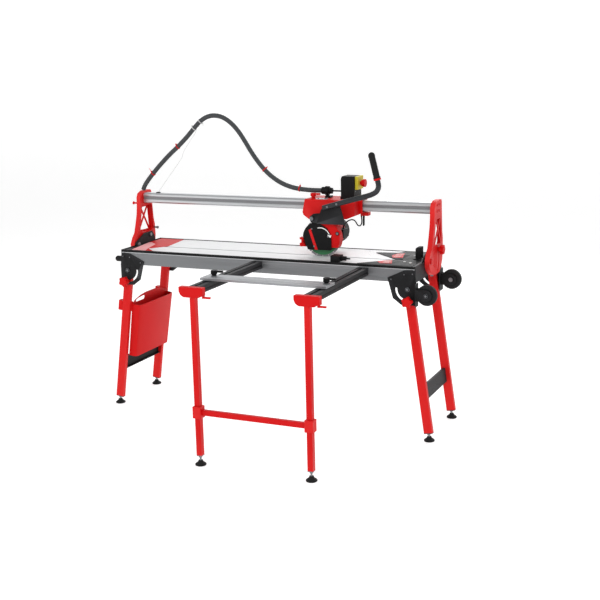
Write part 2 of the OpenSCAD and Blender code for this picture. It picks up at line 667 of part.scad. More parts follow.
module blade() at_base() color([0.20, 0.42, 0.25]) difference() {
  union() {
    ycyl(bx, bz, by - blade_t / 2, by + blade_t / 2, blade_d / 2);
    ycyl(bx, bz, by - 1.2, by + 1.2, blade_d / 2 - 0.01);
  }
  ycyl(bx, bz, by - 1.3, by - blade_t / 2, blade_d / 2 - 10);
  ycyl(bx, bz, by + blade_t / 2, by + 1.3, blade_d / 2 - 10);
  ycyl(bx, bz, by - 5, by + 5, 12.7);
}
module spindle() at_base() color(steel) {
  ycyl(bx, bz, -46.5, 90, 12.7);
  ycyl(bx, bz, 6, 82, 40);
  ycyl(bx, bz, by - 6, by - blade_t / 2, 28);
  ycyl(bx, bz, by + blade_t / 2, by + 6, 28);
  translate([bx, -46, bz]) rotate([90, 0, 0]) cylinder(h = 8, r = 17, $fn = 6);
}
cable_path = [[399, 84, 966.6], [399, 84, 956], [400, 86, 936], [397, 88, 920], [389, 88, 911], [379, 87, 914],
  [372, 85, 926], [365, 82, 936], [355, 76, 940], [343, 70, 937], [331, 63, 928], [322, 57, 915],
  [320, 55, 904], [320, 55, 900]];
module motor_cable() at_base() color(black) tube(cable_path, 3, 10);

side_rails();
end_plates();
top_boards();
edge_strips();
water_tray();
leg_brackets();
pivot_pins();
carry_handles();
mitre_gauge();
wheel_front();
wheel_rear();
legs_left();
brace_left();
leg_studs_left();
feet_left();
legs_right();
brace_right();
leg_studs_right();
feet_right();
leg_knob_front_left();
leg_knob_rear_left();
leg_knob_front_right();
leg_knob_rear_right();
bucket();
ext_rails();
ext_caps();
stand_frame();
stand_studs();
stand_feet();
cap_lever_left();
cap_lever_right();
ruler_bar();
ruler_knob_left();
ruler_knob_right();
slide_stop();
uprights();
rail();
rail_bolts();
hose();
hose_ties();
index_pin();
tilt_knob_left();
tilt_knob_right();
carriage_box();
carriage_lock();
switch_box();
estop_plate();
estop_button();
plunge_pivot();
motor_cable();
head_plate();
guard_body();
guard_cover();
head_screws();
motor_body();
motor_fan_cover();
handle_tube();
grip();
blade();
spindle();
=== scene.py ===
import math

import bmesh
import bpy
from mathutils import Matrix, Vector


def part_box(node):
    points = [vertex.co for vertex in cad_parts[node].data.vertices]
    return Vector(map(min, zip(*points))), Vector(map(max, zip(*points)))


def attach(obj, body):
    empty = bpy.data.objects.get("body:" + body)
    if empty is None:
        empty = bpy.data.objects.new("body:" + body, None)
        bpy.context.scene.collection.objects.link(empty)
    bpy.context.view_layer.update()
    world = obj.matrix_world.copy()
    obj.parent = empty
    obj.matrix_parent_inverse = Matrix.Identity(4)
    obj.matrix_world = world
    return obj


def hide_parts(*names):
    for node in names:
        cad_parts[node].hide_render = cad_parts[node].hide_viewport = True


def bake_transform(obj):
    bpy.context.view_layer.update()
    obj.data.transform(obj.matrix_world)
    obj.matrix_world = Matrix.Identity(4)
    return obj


bl_info = {
    "name": "Bridge Tile Saw Builder",
    "version": (1, 0, 0),
    "blender": (4, 5, 0),
    "location": "View3D > Sidebar > Tile Saw",
    "description": "Builds a rail-guided wet tile saw on folding legs around its CAD frame",
    "category": "Add Mesh",
}

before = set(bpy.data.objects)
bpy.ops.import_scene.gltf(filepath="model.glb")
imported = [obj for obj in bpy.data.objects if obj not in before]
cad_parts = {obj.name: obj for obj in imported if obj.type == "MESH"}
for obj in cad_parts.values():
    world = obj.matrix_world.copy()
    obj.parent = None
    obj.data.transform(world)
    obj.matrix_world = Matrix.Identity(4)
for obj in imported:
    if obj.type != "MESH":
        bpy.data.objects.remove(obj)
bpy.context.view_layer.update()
MM = 0.001
_board_lo, _board_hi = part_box("top_boards")
TABLE_X = (_board_lo.x + _board_hi.x) / 2
TABLE_Y = (_board_lo.y + _board_hi.y) / 2
BUILT = {}

# Distances below are millimetres from the table's middle: x along, y to the back, z above the floor.
BLADE = (254.0, -40.0, 870.0)
LEG_PIVOT = (715.0, 687.0)
WHEEL = (803.0, 186.0, 666.0)
TILT_PIVOT = (-40, 787)  # y and z of the bridge's hinge
MOTOR = (254, 878)  # x and z of the motor's axis
TABLE_TOP = 785
GAUGE_TOP = 789
COVER_FACE = -65.5  # y of the print on the blade cover
COVER_BACK = -64.9


def at(x, y, z):
    """A point in the row frame, in metres, from millimetres on the table."""
    return Vector((x * MM + TABLE_X, y * MM + TABLE_Y, z * MM))


# ---------------------------------------------------------------- materials


def linear(hex_code):
    """Turns an sRGB hex colour into the linear values that a shader reads."""
    rgb = [int(hex_code[i : i + 2], 16) / 255 for i in (1, 3, 5)]
    return [c / 12.92 if c <= 0.04045 else ((c + 0.055) / 1.055) ** 2.4 for c in rgb]


def add(tree, kind, settings=None, inputs=None):
    """Adds one node, sets its properties and sets or links its inputs."""
    made = tree.nodes.new(kind)
    for key, value in (settings or {}).items():
        setattr(made, key, value)
    for key, value in (inputs or {}).items():
        if isinstance(value, bpy.types.NodeSocket):
            tree.links.new(value, made.inputs[key])
        else:
            made.inputs[key].default_value = value
    return made


def finish(name, base, second, rough, metallic=0.0, coat=0.0, grain=(8, 8, 8), grain_mm=0.6,
           bump=0.15, patch_mm=60, rough_swing=0.06, sheen=0.0, edge=None, mix=0.35):
    """A surface with patchy colour, fine grain that bends light, and an optional painted highlight: a lighter
    colour on sharp edges.

    grain stretches the fine pattern along x, y and z; grain_mm is the size of one grain.
    """
    if name in bpy.data.materials:
        return bpy.data.materials[name]
    material = bpy.data.materials.new(name)
    material.use_nodes = True
    tree = material.node_tree
    tree.nodes.clear()
    place = add(tree, "ShaderNodeTexCoord")
    patches = add(
        tree, "ShaderNodeTexNoise", None,
        {"Vector": place.outputs["Object"], "Scale": 1000 / patch_mm, "Detail": 3.0}
    )
    stretch = add(tree, "ShaderNodeMapping", None, {"Vector": place.outputs["Object"], "Scale": grain})
    fine = add(
        tree, "ShaderNodeTexNoise", None,
        {"Vector": stretch.outputs[0], "Scale": 1000 / grain_mm / 8, "Detail": 2.0}
    )
    blend_at = add(
        tree, "ShaderNodeMapRange", None,
        {"Value": patches.outputs[0], "From Min": 0.35, "From Max": 0.7, "To Max": mix}
    )
    colour = add(tree, "ShaderNodeMix", {"data_type": "RGBA"}, {"Factor": blend_at.outputs[0]})
    colour.inputs[6].default_value = (*linear(base), 1)
    colour.inputs[7].default_value = (*linear(second), 1)
    result = colour.outputs[2]
    # Sharp edges, found by pointiness, get the lighter edge colour: a painted highlight.
    if edge:
        bend = add(tree, "ShaderNodeNewGeometry")
        edge_highlight_mask = add(
            tree, "ShaderNodeMapRange", None,
            {"Value": bend.outputs["Pointiness"], "From Min": 0.53, "From Max": 0.62}
        )
        edge_highlight = add(tree, "ShaderNodeMix", {"data_type": "RGBA"}, {"Factor": edge_highlight_mask.outputs[0], 6: result})
        edge_highlight.inputs[7].default_value = (*linear(edge), 1)
        result = edge_highlight.outputs[2]
    gloss = add(tree, "ShaderNodeMapRange", None, {"Value": fine.outputs[0], "From Min": 0.3, "From Max": 0.7,
                                                   "To Min": max(rough - rough_swing, 0.02),
                                                   "To Max": rough + rough_swing})
    dents = add(
        tree, "ShaderNodeBump", None, {"Height": fine.outputs[0], "Strength": bump, "Distance": grain_mm * MM}
    )
    shader = add(tree, "ShaderNodeBsdfPrincipled", None, {
        "Base Color": result, "Roughness": gloss.outputs[0], "Normal": dents.outputs[0],
        "Metallic": metallic, "Specular IOR Level": 0.5 if metallic else 0.16, "Coat Weight": coat,
        "Coat Roughness": 0.12, "Sheen Weight": sheen})
    add(tree, "ShaderNodeOutputMaterial", None, {"Surface": shader.outputs[0]})
    return material


def finishes():
    """Every finish on the machine, by the plain name of what it is."""
    return {
        # Oven-cured powder on steel: thick gloss with a very slight orange peel, and a lighter red on sharp
        # edges as a painted highlight.
        "red_coat": finish(
            "Powder coated steel, signal red", "#C90507", "#BD0406", 0.46, coat=0.0, grain_mm=1.6, bump=0.10,
            patch_mm=180, edge="#D92A28"
        ),
        # Moulded ABS: same red, finer texture, softer highlight.
        "red_abs": finish(
            "Moulded ABS, signal red", "#C80507", "#BC0406", 0.5, coat=0.0, grain_mm=0.9, bump=0.12,
            patch_mm=120
        ),
        # Powder coat in black, a faint grit, and a dark grey on sharp edges as a painted highlight.
        "black_coat": finish(
            "Powder coated steel, black", "#0E0E0F", "#141415", 0.55, coat=0.0, grain_mm=1.2, bump=0.25,
            patch_mm=90, edge="#3A3B3E"
        ),
        "black_abs": finish(
            "Moulded ABS, black", "#0D0D0E", "#131314", 0.55, grain_mm=0.9, bump=0.3, patch_mm=70
        ),
        # Extruded aluminium shows die lines along its length.
        "side_alu": finish(
            "Anodised aluminium extrusion, grey", "#77797B", "#6C6E70", 0.45, metallic=0.6,
            grain=(0.05, 8, 8), grain_mm=1.4, bump=0.08, patch_mm=240
        ),
        "board_alu": finish(
            "Milled aluminium board", "#E2E3E4", "#D9DADB", 0.45, metallic=0.25, grain=(0.04, 8, 8),
            grain_mm=1.8, bump=0.06, patch_mm=260
        ),
        "rail_alu": finish(
            "Drawn aluminium rail", "#C6C8CA", "#B9BBBD", 0.36, metallic=0.75, grain=(0.04, 8, 8),
            grain_mm=1.2, bump=0.04, patch_mm=300
        ),
        "ruler_alu": finish(
            "Anodised aluminium ruler, mid grey", "#9B9DA0", "#909295", 0.42, metallic=0.7,
            grain=(0.04, 8, 8), grain_mm=1.2, bump=0.04, patch_mm=300
        ),
        "zinc": finish(
            "Zinc plated steel", "#808285", "#727477", 0.4, metallic=1.0, grain_mm=0.8, bump=0.08, patch_mm=25
        ),
        "rubber": finish(
            "Moulded rubber, black", "#161616", "#1F1F1F", 0.62, grain_mm=0.9, bump=0.35, patch_mm=40,
            sheen=0.05
        ),
        "tyre": finish(
            "Solid tyre rubber", "#1C1C1D", "#262627", 0.7, grain_mm=1.2, bump=0.4, patch_mm=30, sheen=0.05
        ),
        "hose": finish(
            "Corrugated conduit, charcoal", "#424446", "#4A4C4E", 0.5, grain_mm=1.0, bump=0.2, patch_mm=60
        ),
        "cable": finish(
            "Cable sheath, black", "#18181A", "#222225", 0.4, grain_mm=0.8, bump=0.15, patch_mm=40
        ),
        "tube_black": finish(
            "Bent steel tube, dark grey enamel", "#26282B", "#2E3034", 0.32, coat=0.3, grain_mm=1.2, bump=0.1,
            patch_mm=120
        ),
        "yellow_abs": finish(
            "Moulded ABS, signal yellow", "#C4B530", "#B9AA2A", 0.42, coat=0.0, grain_mm=0.9, bump=0.12,
            patch_mm=60
        ),
        "blade_green": finish(
            "Lacquered blade core, green", "#2F7D4A", "#256B3D", 0.4, metallic=0.2, coat=0.3, grain_mm=1.0,
            bump=0.1, patch_mm=30
        ),
        "segment": finish(
            "Sintered diamond rim", "#8B8D8E", "#6F7172", 0.6, metallic=0.5, grain_mm=0.8, bump=0.6,
            patch_mm=8
        ),
        "white_print": finish(
            "White printed ink", "#ECECEA", "#E2E2DF", 0.5, grain_mm=0.6, bump=0.05, patch_mm=30
        ),
        "red_print": finish(
            "Red printed ink", "#D3191C", "#C41518", 0.45, grain_mm=0.6, bump=0.05, patch_mm=30
        ),
        "pink_print": finish(
            "Pale pink printed ink", "#E9A9AA", "#E3A0A2", 0.5, grain_mm=0.6, bump=0.05, patch_mm=30
        ),
        "wire_grey": finish(
            "Sleeved support wire, pale grey", "#C6C6C6", "#BCBCBC", 0.5, grain_mm=0.6, bump=0.05, patch_mm=30
        ),
        # Grey for the rail's grooves: painted shade, darker than the bright rail.
        "groove_painted_shade": finish(
            "Painted shade in the rail's grooves, grey", "#7A7B7D", "#727375", 0.5, metallic=0.3,
            grain=(0.04, 8, 8), grain_mm=1.2, bump=0.04, patch_mm=200
        ),
        "pale_plate": finish(
            "Satin rating plate, blank", "#C9CCD0", "#BDC0C4", 0.35, metallic=0.6, grain_mm=0.8, bump=0.1,
            patch_mm=30
        ),
        # Black for recesses and vent grooves: painted shade where only shade falls.
        "recess_painted_shade": finish(
            "Shadowed recess, black", "#0B0B0C", "#101011", 0.8, grain_mm=1.0, bump=0.1, patch_mm=40
        ),
    }


FINISH = finishes()

# ---------------------------------------------------------------- mesh tools


class Solid:
    """Collects closed shapes in table millimetres, then turns them into one piece."""

    def __init__(self):
        self.bm = bmesh.new()

    def _verts(self, points):
        return [self.bm.verts.new(p) for p in points]

    def prism(self, outline, axis, low, high, holes=()):
        """Pushes an outline from low to high along axis 'x', 'y' or 'z'."""
        lift = {
            "x": lambda a, b, d: (d, a, b),
            "y": lambda a, b, d: (a, d, b),
            "z": lambda a, b, d: (a, b, d),
        }[axis]
        edges = []
        for loop in (outline, *holes):
            ring = self._verts(lift(a, b, low) for a, b in loop)
            edges += [self.bm.edges.new((ring[i], ring[(i + 1) % len(ring)])) for i in range(len(ring))]
        made = bmesh.ops.triangle_fill(self.bm, use_beauty=True, use_dissolve=True, edges=edges)
        faces = [g for g in made["geom"] if isinstance(g, bmesh.types.BMFace)]
        grown = bmesh.ops.extrude_face_region(self.bm, geom=faces)
        moved = [g for g in grown["geom"] if isinstance(g, bmesh.types.BMVert)]
        shift = Vector(lift(0, 0, high - low))
        bmesh.ops.translate(self.bm, verts=moved, vec=shift)
        shell = faces + [g for g in grown["geom"] if isinstance(g, bmesh.types.BMFace)]
        for v in moved:
            shell += list(v.link_faces)
        bmesh.ops.recalc_face_normals(self.bm, faces=list(set(shell)))
        return self

    def box(self, low, high):
        return self.prism(
            [(low[0], low[1]), (high[0], low[1]), (high[0], high[1]), (low[0], high[1])], "z", low[2], high[2]
        )

    def lathe(self, profile, base, along, n=40):
        """Turns (radius, height) pairs round the line from base along a direction."""
        turn = Vector((0, 0, 1)).rotation_difference(Vector(along).normalized()).to_matrix()
        rings, faces = [], []
        for r, h in profile:
            if r < 1e-6:
                rings.append(self._verts([Vector(base) + turn @ Vector((0, 0, h))]))
            else:
                rings.append(self._verts(
                    Vector(base) + turn @ Vector(
                        (r * math.cos(2 * math.pi * k / n), r * math.sin(2 * math.pi * k / n), h)
                    )
                    for k in range(n)))
        closed = len(rings[0]) > 1 and len(rings[-1]) > 1
        pairs = list(zip(rings, rings[1:])) + ([(rings[-1], rings[0])] if closed else [])
        for low, high in pairs:
            for k in range(n):
                j = (k + 1) % n
                loop = [low[k % len(low)], low[j % len(low)], high[j % len(high)], high[k % len(high)]]
                loop = list(dict.fromkeys(loop))
                if len(loop) > 2:
                    faces.append(self.bm.faces.new(loop))
        bmesh.ops.recalc_face_normals(self.bm, faces=faces)
        return self

    def tube(self, path, r, n=16, radii=None):
        """Sweeps a circle along points, with a closed cap at each end."""
        pts = [Vector(p) for p in path]
        rings, side = [], None
        for i, p in enumerate(pts):
            t = (pts[min(i + 1, len(pts) - 1)] - pts[max(i - 1, 0)]).normalized()
            if side is None:
                side = t.orthogonal().normalized()
            side = (side - t * side.dot(t)).normalized()
            up = t.cross(side)
            rr = radii[i] if radii else r
            rings.append(self._verts(
                p + rr * (math.cos(2 * math.pi * k / n) * side + math.sin(2 * math.pi * k / n) * up)
                for k in range(n)))
        faces = [
            self.bm.faces.new((a[k], a[(k + 1) % n], b[(k + 1) % n], b[k]))
            for a, b in zip(rings, rings[1:]) for k in range(n)
        ]
        faces += [self.bm.faces.new(reversed(rings[0])), self.bm.faces.new(rings[-1])]
        bmesh.ops.recalc_face_normals(self.bm, faces=faces)
        return self

    def done(self, name, material, body, nodes=(), slot=None, bevel=0.6, segments=2, angle=32, weld=True):
        """Makes the piece: placed in the row frame, edges rounded, riding on its body."""
        if weld:
            bmesh.ops.remove_doubles(self.bm, verts=self.bm.verts, dist=1e-4)
        self.bm.transform(Matrix.Translation((TABLE_X, TABLE_Y, 0)) @ Matrix.Scale(MM, 4))
        mesh = bpy.data.meshes.new(name)
        self.bm.to_mesh(mesh)
        self.bm.free()
        return settle(name, mesh, material, body, nodes, slot, bevel, segments, angle)


def settle(name, mesh, material, body, nodes=(), slot=None, bevel=0.6, segments=2, angle=32):
    """Gives a finished mesh its object, material, rounded edges, body and CAD nodes."""
    obj = bpy.data.objects.new(name, mesh)
    bpy.context.scene.collection.objects.link(obj)
    if material is not None:
        mesh.materials.clear()
        mesh.materials.append(FINISH[material])
    for face in mesh.polygons:
        face.use_smooth = True
    mesh.set_sharp_from_angle(angle=math.radians(angle))
    if bevel:
        rounding = obj.modifiers.new("Rounded edges", "BEVEL")
        rounding.width = bevel * MM
        rounding.segments = segments
        rounding.limit_method = "ANGLE"
        rounding.angle_limit = math.radians(angle)
        rounding.harden_normals = True
        rounding.miter_outer = "MITER_ARC"
    if body:
        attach(obj, body)
    if nodes:
        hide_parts(*nodes)
    BUILT[name] = obj
    return obj


def from_cad(node, name, material, body, slot, bevel=0.6, segments=2, angle=32):
    """A welded copy of a CAD node's shape with its edges rounded."""
    bm = bmesh.new()
    bm.from_mesh(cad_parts[node].data)
    bmesh.ops.remove_doubles(bm, verts=bm.verts, dist=1e-6)
    bmesh.ops.dissolve_limit(bm, angle_limit=math.radians(0.6), verts=bm.verts, edges=bm.edges)
    mesh = bpy.data.meshes.new(name)
    bm.to_mesh(mesh)
    bm.free()
    return settle(name, mesh, material, body, (node,), slot, bevel, segments, angle)


def circle(cx, cy, r, n=32, a0=0.0, a1=360.0):
    """Points on an arc, in degrees; a full circle leaves out the repeated point."""
    full = abs(a1 - a0) >= 360
    count = n if full else n + 1
    return [
        (
            cx + r * math.cos(math.radians(a0 + (a1 - a0) * i / n)),
            cy + r * math.sin(math.radians(a0 + (a1 - a0) * i / n))
        )
        for i in range(count)
    ]


def rounded(x0, y0, x1, y1, r, n=6):
    """A rectangle's outline with round corners."""
    pts = []
    for cx, cy, a in (
        (x1 - r, y1 - r, 0), (x0 + r, y1 - r, 90), (x0 + r, y0 + r, 180), (x1 - r, y0 + r, 270)
    ):
        pts += circle(cx, cy, r, n, a, a + 90)
    return pts


def smooth_path(points, step):
    """A Catmull-Rom line through the points, cut into pieces about step long."""
    pts = [Vector(p) for p in points]
    out = [pts[0]]
    for i in range(len(pts) - 1):
        p0, p1, p2 = pts[max(i - 1, 0)], pts[i], pts[i + 1]
        p3 = pts[min(i + 2, len(pts) - 1)]
        count = max(1, round((p2 - p1).length / step))
        for k in range(1, count + 1):
            t = k / count
            out.append(
                0.5 * (
                    2 * p1 + (p2 - p0) * t + (
                        2 * p0 - 5 * p1 + 4 * p2 - p3
                    ) * t * t + (3 * p1 - p0 - 3 * p2 + p3) * t ** 3
                )
            )
    return out


# ---------------------------------------------------------------- geometry nodes


def socket(tree, name, kind, default=None):
    """Adds a named input to a node tree."""
    made = tree.interface.new_socket(name=name, in_out="INPUT", socket_type=kind)
    if default is not None:
        made.default_value = default
    return made


def new_tree(name):
    """Starts a node tree that takes a shape in and gives a shape out."""
    tree = bpy.data.node_groups.new(name, "GeometryNodeTree")
    tree.interface.new_socket(name="Geometry", in_out="OUTPUT", socket_type="NodeSocketGeometry")
    socket(tree, "Geometry", "NodeSocketGeometry")
    return tree


def repeat_tree():
    """A tree that repeats the object's own mesh along a step and round a turn."""
    name = "Repeat along a step and a turn"
    if name in bpy.data.node_groups:
        return bpy.data.node_groups[name]
    tree = new_tree(name)
    socket(tree, "Count", "NodeSocketInt", 6)
    socket(tree, "Step", "NodeSocketVector")
    socket(tree, "Turn", "NodeSocketVector")
    socket(tree, "Centre", "NodeSocketVector")
    socket(tree, "Material", "NodeSocketMaterial")
    given = add(tree, "NodeGroupInput")
    line = add(
        tree, "GeometryNodeMeshLine", None, {"Count": given.outputs["Count"], "Offset": given.outputs["Step"]}
    )
    index = add(tree, "GeometryNodeInputIndex")
    angle = add(
        tree, "ShaderNodeVectorMath", {"operation": "SCALE"},
        {0: given.outputs["Turn"], "Scale": index.outputs[0]}
    )
    to_rotation = add(tree, "FunctionNodeEulerToRotation", None, {0: angle.outputs[0]})
    copies = add(
        tree, "GeometryNodeInstanceOnPoints", None,
        {"Points": line.outputs[0], "Instance": given.outputs["Geometry"], "Rotation": to_rotation.outputs[0]}
    )
    moved = add(
        tree, "GeometryNodeTransform", None,
        {"Geometry": copies.outputs[0], "Translation": given.outputs["Centre"]}
    )
    real = add(tree, "GeometryNodeRealizeInstances", None, {"Geometry": moved.outputs[0]})
    painted = add(
        tree, "GeometryNodeSetMaterial", None,
        {"Geometry": real.outputs[0], "Material": given.outputs["Material"]}
    )
    add(tree, "NodeGroupOutput", None, {"Geometry": painted.outputs[0]})
    return tree


def fastener_tree():
    """A tree that puts a button head with a six-sided socket on every point, facing its aim."""
    name = "Socket screws on points"
    if name in bpy.data.node_groups:
        return bpy.data.node_groups[name]
    tree = new_tree(name)
    socket(tree, "Head Radius", "NodeSocketFloat", 0.004)
    socket(tree, "Head Height", "NodeSocketFloat", 0.002)
    socket(tree, "Head Sides", "NodeSocketInt", 24)
    socket(tree, "Socket Share", "NodeSocketFloat", 0.5)
    socket(tree, "Material", "NodeSocketMaterial")
    given = add(tree, "NodeGroupInput")
    flange = add(tree, "GeometryNodeMeshCone", None, {
        "Vertices": given.outputs["Head Sides"], "Radius Bottom": given.outputs["Head Radius"],
        "Depth": given.outputs["Head Height"]})
    top = add(tree, "ShaderNodeMath", {"operation": "MULTIPLY"}, {0: given.outputs["Head Radius"], 1: 0.82})
    tree.links.new(top.outputs[0], flange.inputs["Radius Top"])
    hole_r = add(
        tree, "ShaderNodeMath", {"operation": "MULTIPLY"},
        {0: given.outputs["Head Radius"], 1: given.outputs["Socket Share"]}
    )
    hole = add(
        tree, "GeometryNodeMeshCylinder", None,
        {"Vertices": 6, "Radius": hole_r.outputs[0], "Depth": given.outputs["Head Height"]}
    )
    deep = add(tree, "ShaderNodeMath", {"operation": "MULTIPLY"}, {0: given.outputs["Head Height"], 1: 1.1})
    offset = add(tree, "ShaderNodeCombineXYZ", None, {"Z": deep.outputs[0]})
    hole_at = add(
        tree, "GeometryNodeTransform", None, {"Geometry": hole.outputs[0], "Translation": offset.outputs[0]}
    )
    head = add(
        tree, "GeometryNodeMeshBoolean", {"operation": "DIFFERENCE"},
        {"Mesh 1": flange.outputs[0], "Mesh 2": hole_at.outputs[0]}
    )
    aim = add(tree, "GeometryNodeInputNamedAttribute", {"data_type": "FLOAT_VECTOR"}, {"Name": "aim"})
    facing = add(tree, "FunctionNodeAlignRotationToVector", {"axis": "Z"}, {"Vector": aim.outputs[0]})
    copies = add(
        tree, "GeometryNodeInstanceOnPoints", None,
        {"Points": given.outputs["Geometry"], "Instance": head.outputs[0], "Rotation": facing.outputs[0]}
    )
    real = add(tree, "GeometryNodeRealizeInstances", None, {"Geometry": copies.outputs[0]})
    painted = add(
        tree, "GeometryNodeSetMaterial", None,
        {"Geometry": real.outputs[0], "Material": given.outputs["Material"]}
    )
    add(tree, "NodeGroupOutput", None, {"Geometry": painted.outputs[0]})
    return tree


def conduit_tree():
    """A tree that wraps a ribbed tube round a line: rings stand proud at every pitch."""
    name = "Ribbed conduit on a line"
    if name in bpy.data.node_groups:
        return bpy.data.node_groups[name]
    tree = new_tree(name)
    socket(tree, "Radius", "NodeSocketFloat", 0.012)
    socket(tree, "Rib Height", "NodeSocketFloat", 0.0012)
    socket(tree, "Pitch", "NodeSocketFloat", 0.006)
    socket(tree, "Sides", "NodeSocketInt", 20)
    socket(tree, "Material", "NodeSocketMaterial")
    given = add(tree, "NodeGroupInput")
    line = add(tree, "GeometryNodeMeshToCurve", None, {"Mesh": given.outputs["Geometry"]})
    quarter = add(tree, "ShaderNodeMath", {"operation": "DIVIDE"}, {0: given.outputs["Pitch"], 1: 4.0})
    even = add(
        tree, "GeometryNodeResampleCurve", {"mode": "LENGTH"},
        {"Curve": line.outputs[0], "Length": quarter.outputs[0]}
    )
    along = add(tree, "GeometryNodeSplineParameter")
    turns = add(
        tree, "ShaderNodeMath", {"operation": "DIVIDE"},
        {0: along.outputs["Length"], 1: given.outputs["Pitch"]}
    )
    phase = add(tree, "ShaderNodeMath", {"operation": "MULTIPLY"}, {0: turns.outputs[0], 1: 2 * math.pi})
    wave = add(tree, "ShaderNodeMath", {"operation": "COSINE"}, {0: phase.outputs[0]})
    rib = add(
        tree, "ShaderNodeMath", {"operation": "MULTIPLY"},
        {0: wave.outputs[0], 1: given.outputs["Rib Height"]}
    )
    size = add(tree, "ShaderNodeMath", {"operation": "ADD"}, {0: rib.outputs[0], 1: given.outputs["Radius"]})
    ring = add(
        tree, "GeometryNodeCurvePrimitiveCircle", {"mode": "RADIUS"},
        {"Resolution": given.outputs["Sides"], "Radius": 1.0}
    )
    tube = add(
        tree, "GeometryNodeCurveToMesh", None,
        {"Curve": even.outputs[0], "Profile Curve": ring.outputs[0], "Fill Caps": True}
    )
    if "Scale" in tube.inputs:
        tree.links.new(size.outputs[0], tube.inputs["Scale"])
    else:
        sized = add(
            tree, "GeometryNodeSetCurveRadius", None, {"Curve": even.outputs[0], "Radius": size.outputs[0]}
        )
        tree.links.new(sized.outputs[0], tube.inputs["Curve"])
    smooth = add(tree, "GeometryNodeSetShadeSmooth", None, {"Geometry": tube.outputs[0]})
    real = add(tree, "GeometryNodeRealizeInstances", None, {"Geometry": smooth.outputs[0]})
    painted = add(
        tree, "GeometryNodeSetMaterial", None,
        {"Geometry": real.outputs[0], "Material": given.outputs["Material"]}
    )
    add(tree, "NodeGroupOutput", None, {"Geometry": painted.outputs[0]})
    return tree


def run_tree(mesh, tree, values):
    """Evaluates a node tree on a mesh and returns the plain mesh it makes."""
    obj = bpy.data.objects.new("making", mesh)
    bpy.context.scene.collection.objects.link(obj)
    modifier = obj.modifiers.new("Making", "NODES")
    modifier.node_group = tree
    ids = {i.name: i.identifier for i in tree.interface.items_tree if getattr(i, "in_out", "") == "INPUT"}
    for name, value in values.items():
        modifier[ids[name]] = value
    bpy.context.view_layer.update()
    result = bpy.data.meshes.new_from_object(obj.evaluated_get(bpy.context.evaluated_depsgraph_get()))
    bpy.data.objects.remove(obj)
    return result


def repeated(solid, name, material, body, count, step=(0, 0, 0), turn=(0, 0, 0), centre=(0, 0, 0), **how):
    """A piece made of copies of one small shape, drawn in millimetres about its centre."""
    solid.bm.transform(Matrix.Scale(MM, 4))
    seed = bpy.data.meshes.new(name + "_one")
    solid.bm.to_mesh(seed)
    solid.bm.free()
    mesh = run_tree(seed, repeat_tree(), {
        "Count": count, "Step": Vector(step) * MM, "Turn": Vector(turn), "Centre": at(*centre),
        "Material": FINISH[material]})
    return settle(name, mesh, None, body, **how)


def screws(name, places, radius, height, body, material="zinc", sides=24, socket_share=0.5, **how):
    """Socket screws of one size: places holds (point, aim) pairs in table millimetres."""
    mesh = bpy.data.meshes.new(name + "_points")
    mesh.from_pydata([at(*p) for p, _ in places], [], [])
    aim = mesh.attributes.new("aim", "FLOAT_VECTOR", "POINT")
    aim.data.foreach_set("vector", [c for _, a in places for c in a])
    made = run_tree(mesh, fastener_tree(), {
        "Head Radius": radius * MM, "Head Height": height * MM, "Head Sides": sides,
        "Socket Share": socket_share, "Material": FINISH[material]})
    return settle(name, made, None, body, bevel=0.25, segments=1, **how)


# ---------------------------------------------------------------- settings


class TileSawTable(bpy.types.PropertyGroup):
    """Sizes of the table's trim."""

    panel: bpy.props.FloatProperty(
        name="Corner Panel Thickness", description="Thickness of the red corner panel, in millimetres",
        default=0.8, min=0.3, max=1.5
    )
    ticks: bpy.props.IntProperty(
        name="Gauge Ticks", description="Number of marks on each angle scale", default=25, min=5, max=60
    )


class TileSawHose(bpy.types.PropertyGroup):
    """Sizes of the ribbed conduit between the bridge and the carriage."""

    radius: bpy.props.FloatProperty(
        name="Conduit Radius", description="Mean radius of the conduit", default=0.0108, min=0.006,
        max=0.0115, subtype="DISTANCE", unit="LENGTH"
    )
    rib: bpy.props.FloatProperty(
        name="Rib Height", description="Height of each rib over the mean radius", default=0.0009, min=0.0,
        max=0.002, subtype="DISTANCE", unit="LENGTH"
    )
    pitch: bpy.props.FloatProperty(
        name="Rib Pitch", description="Distance from one rib to the next", default=0.0065, min=0.003,
        max=0.02, subtype="DISTANCE", unit="LENGTH"
    )


class TileSawStage(bpy.types.PropertyGroup):
    """Light and floor."""

    floor: bpy.props.FloatVectorProperty(
        name="Floor Colour", description="Colour of the floor", default=(0.97, 0.97, 0.97), size=3,
        subtype="COLOR", min=0, max=1
    )
    key: bpy.props.FloatProperty(
        name="Key Light", description="Power of the main soft light", default=95.0, min=10, max=1000,
        subtype="POWER", unit="POWER"
    )
    sky: bpy.props.FloatProperty(
        name="Sky Light", description="Strength of the light from all round", default=0.5, min=0.1, max=3
    )


# ---------------------------------------------------------------- pieces


class TILESAW_OT_camera(bpy.types.Operator):
    """Sets the camera: a long lens from the front right, a little above the rail"""

    bl_idname = "tile_saw.camera"
    bl_label = "Camera"

    def execute(self, context):
        yaw, pitch, roll = -0.426, 0.22, -0.023
        place = (2245.7, -4694.8, 1710.2)
        look = Vector((math.sin(yaw) * math.cos(pitch), math.cos(yaw) * math.cos(pitch), -math.sin(pitch)))
        right = Vector((math.cos(yaw), -math.sin(yaw), 0))
        up = right.cross(look)
        right_2 = math.cos(roll) * right + math.sin(roll) * up
        up_2 = -math.sin(roll) * right + math.cos(roll) * up
        camera = bpy.data.objects.new("Camera", bpy.data.cameras.new("Camera"))
        context.scene.collection.objects.link(camera)
        camera.matrix_world = Matrix.Translation(at(*place)) @ Matrix(
            (right_2, up_2, -look)
        ).transposed().to_4x4()
        camera.data.lens = 66.87
        camera.data.sensor_width = 36
        camera.data.clip_end = 60
        context.scene.camera = camera
        return {"FINISHED"}


